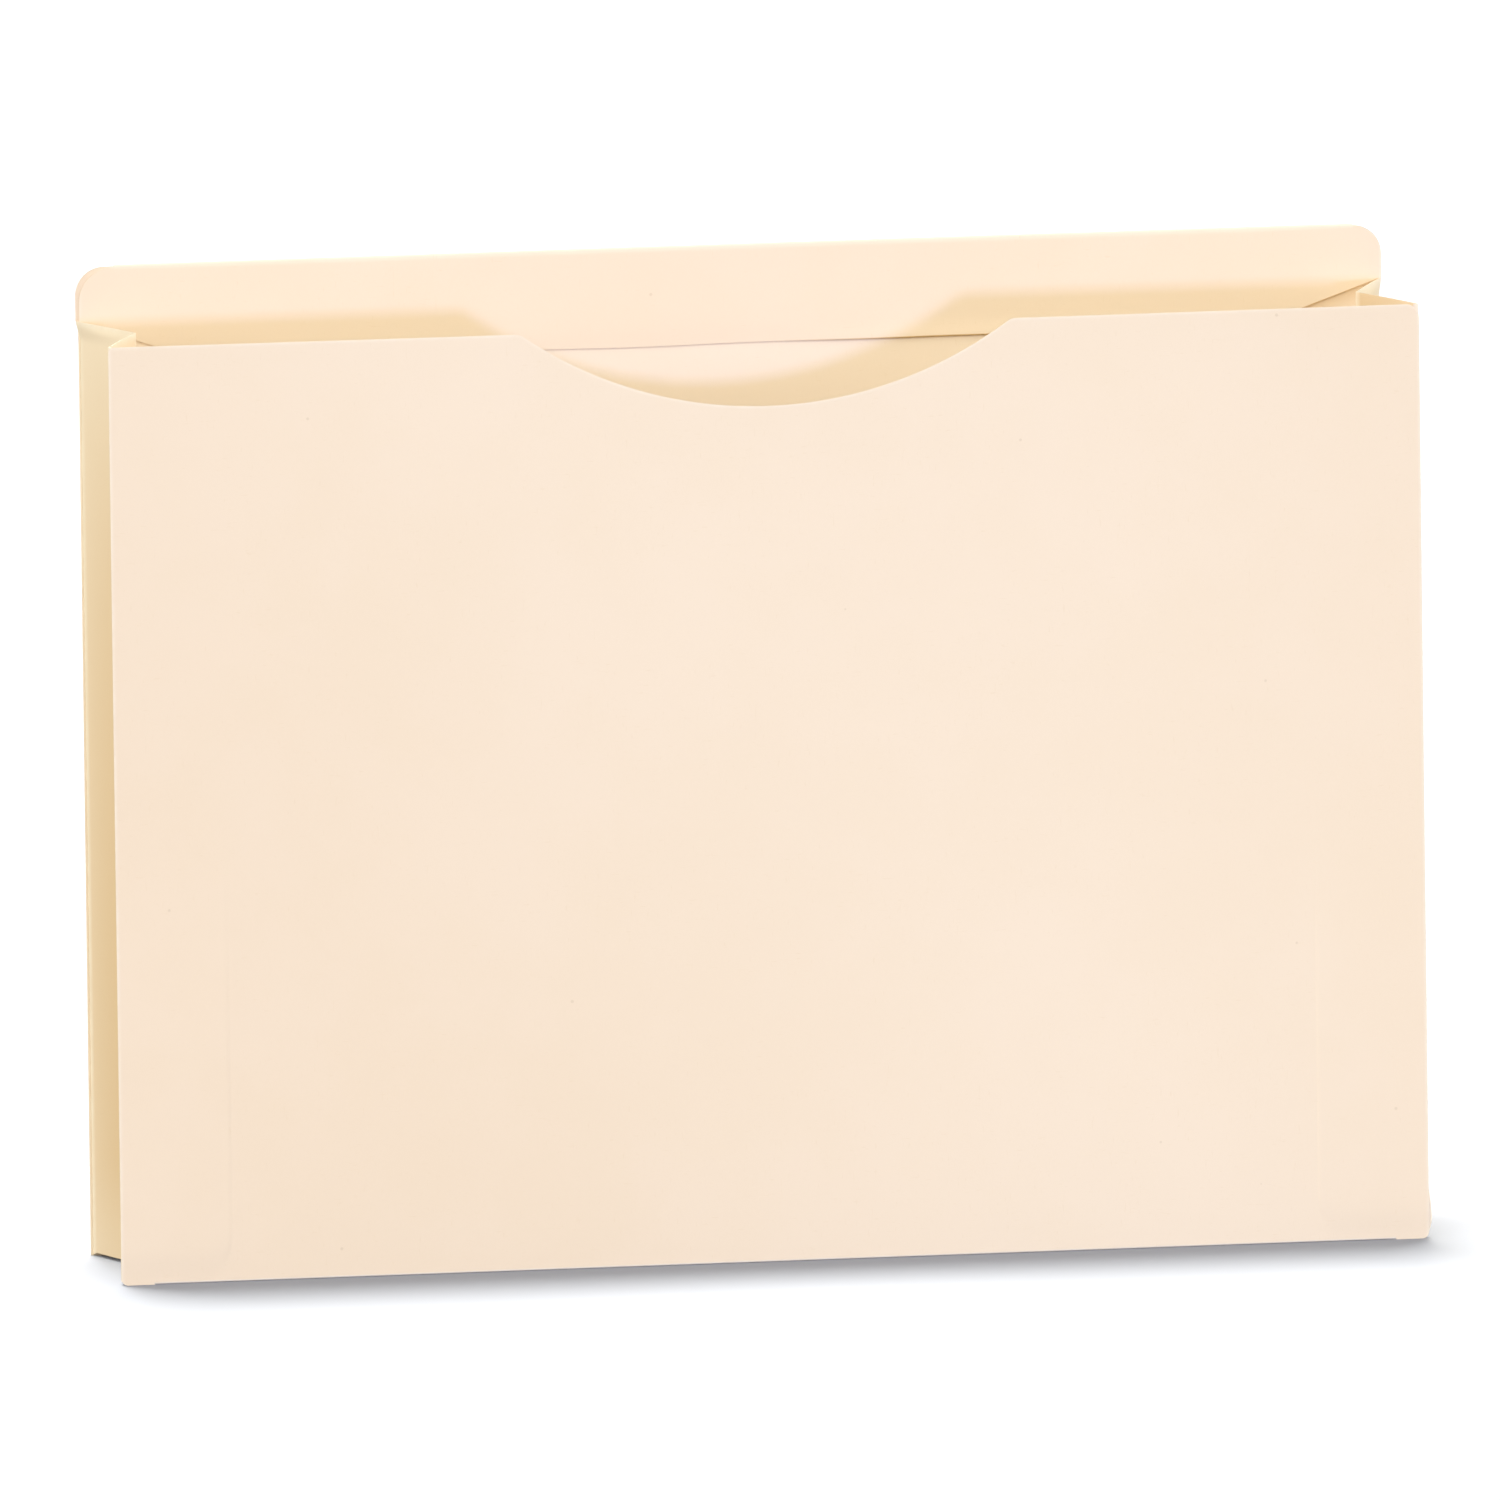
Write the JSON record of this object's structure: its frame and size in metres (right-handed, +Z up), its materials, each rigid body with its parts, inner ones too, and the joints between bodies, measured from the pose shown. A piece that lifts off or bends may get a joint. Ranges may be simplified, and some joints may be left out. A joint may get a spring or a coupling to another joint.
{
  "type": "file jacket",
  "caption": "Manila card file jacket with a straight double-ply tab, a thumb cut in the front panel and inward pleats at sides and bottom that let the pocket open or fold flat.",
  "frame": {"origin": "middle of the footprint, on the surface that the two panels' lower edges stand on", "axes": "+X to the right across the panels, +Y from the front panel to the back panel, +Z up to the mouth"},
  "size_m": [0.2986, 0.0488, 0.225],
  "materials": {
    "card": "smooth matt manila card",
    "glue": "dried clear glue"
  },
  "bodies": {
    "back": {"back_panel": "card", "tab_ply": "card", "tab_glue": "glue"},
    "left_rear": {"left_rear_leaf": "card"},
    "left_front": {"left_front_leaf": "card"},
    "front": {"front_panel": "card", "left_glue_flap": "card", "left_glue_line": "glue", "right_glue_flap": "card", "right_glue_line": "glue"},
    "right_rear": {"right_rear_leaf": "card"},
    "right_front": {"right_front_leaf": "card"},
    "bottom_rear": {"bottom_rear_leaf": "card"},
    "bottom_front": {"bottom_front_leaf": "card"}
  },
  "joints": [
    {"name": "left_rear_fold", "type": "hinge", "parent": "back", "child": "left_rear", "pos_m": [-0.14895, 0.02374, 0.10625], "axis": [0, 0, -1], "range_deg": [-65, 22]},
    {"name": "left_ridge_fold", "type": "hinge", "parent": "left_rear", "child": "left_front", "pos_m": [-0.13943, 0.00019, 0.10625], "axis": [0, 0, 1], "range_deg": [-130, 44]},
    {"name": "front_fold", "type": "hinge", "parent": "left_front", "child": "front", "pos_m": [-0.14895, -0.02336, 0.10625], "axis": [0, 0, -1], "range_deg": [-65, 22]},
    {"name": "right_rear_fold", "type": "hinge", "parent": "back", "child": "right_rear", "pos_m": [0.14895, 0.02374, 0.10625], "axis": [0, 0, 1], "range_deg": [-65, 22]},
    {"name": "right_ridge_fold", "type": "hinge", "parent": "right_rear", "child": "right_front", "pos_m": [0.13943, 0.00019, 0.10625], "axis": [0, 0, -1], "range_deg": [-130, 44]},
    {"name": "bottom_rear_fold", "type": "hinge", "parent": "back", "child": "bottom_rear", "pos_m": [0, 0.02374, 0.0004], "axis": [1, 0, 0], "range_deg": [-65, 22]},
    {"name": "bottom_front_fold", "type": "hinge", "parent": "front", "child": "bottom_front", "pos_m": [0, -0.02336, 0.0004], "axis": [-1, 0, 0], "range_deg": [-65, 22]}
  ],
  "couplings": [
    {"joint": "left_rear_fold", "follows": "front_fold", "ratio": 1},
    {"joint": "left_ridge_fold", "follows": "front_fold", "ratio": 2},
    {"joint": "right_rear_fold", "follows": "front_fold", "ratio": 1},
    {"joint": "right_ridge_fold", "follows": "front_fold", "ratio": 2},
    {"joint": "bottom_rear_fold", "follows": "front_fold", "ratio": 1},
    {"joint": "bottom_front_fold", "follows": "front_fold", "ratio": 1}
  ]
}
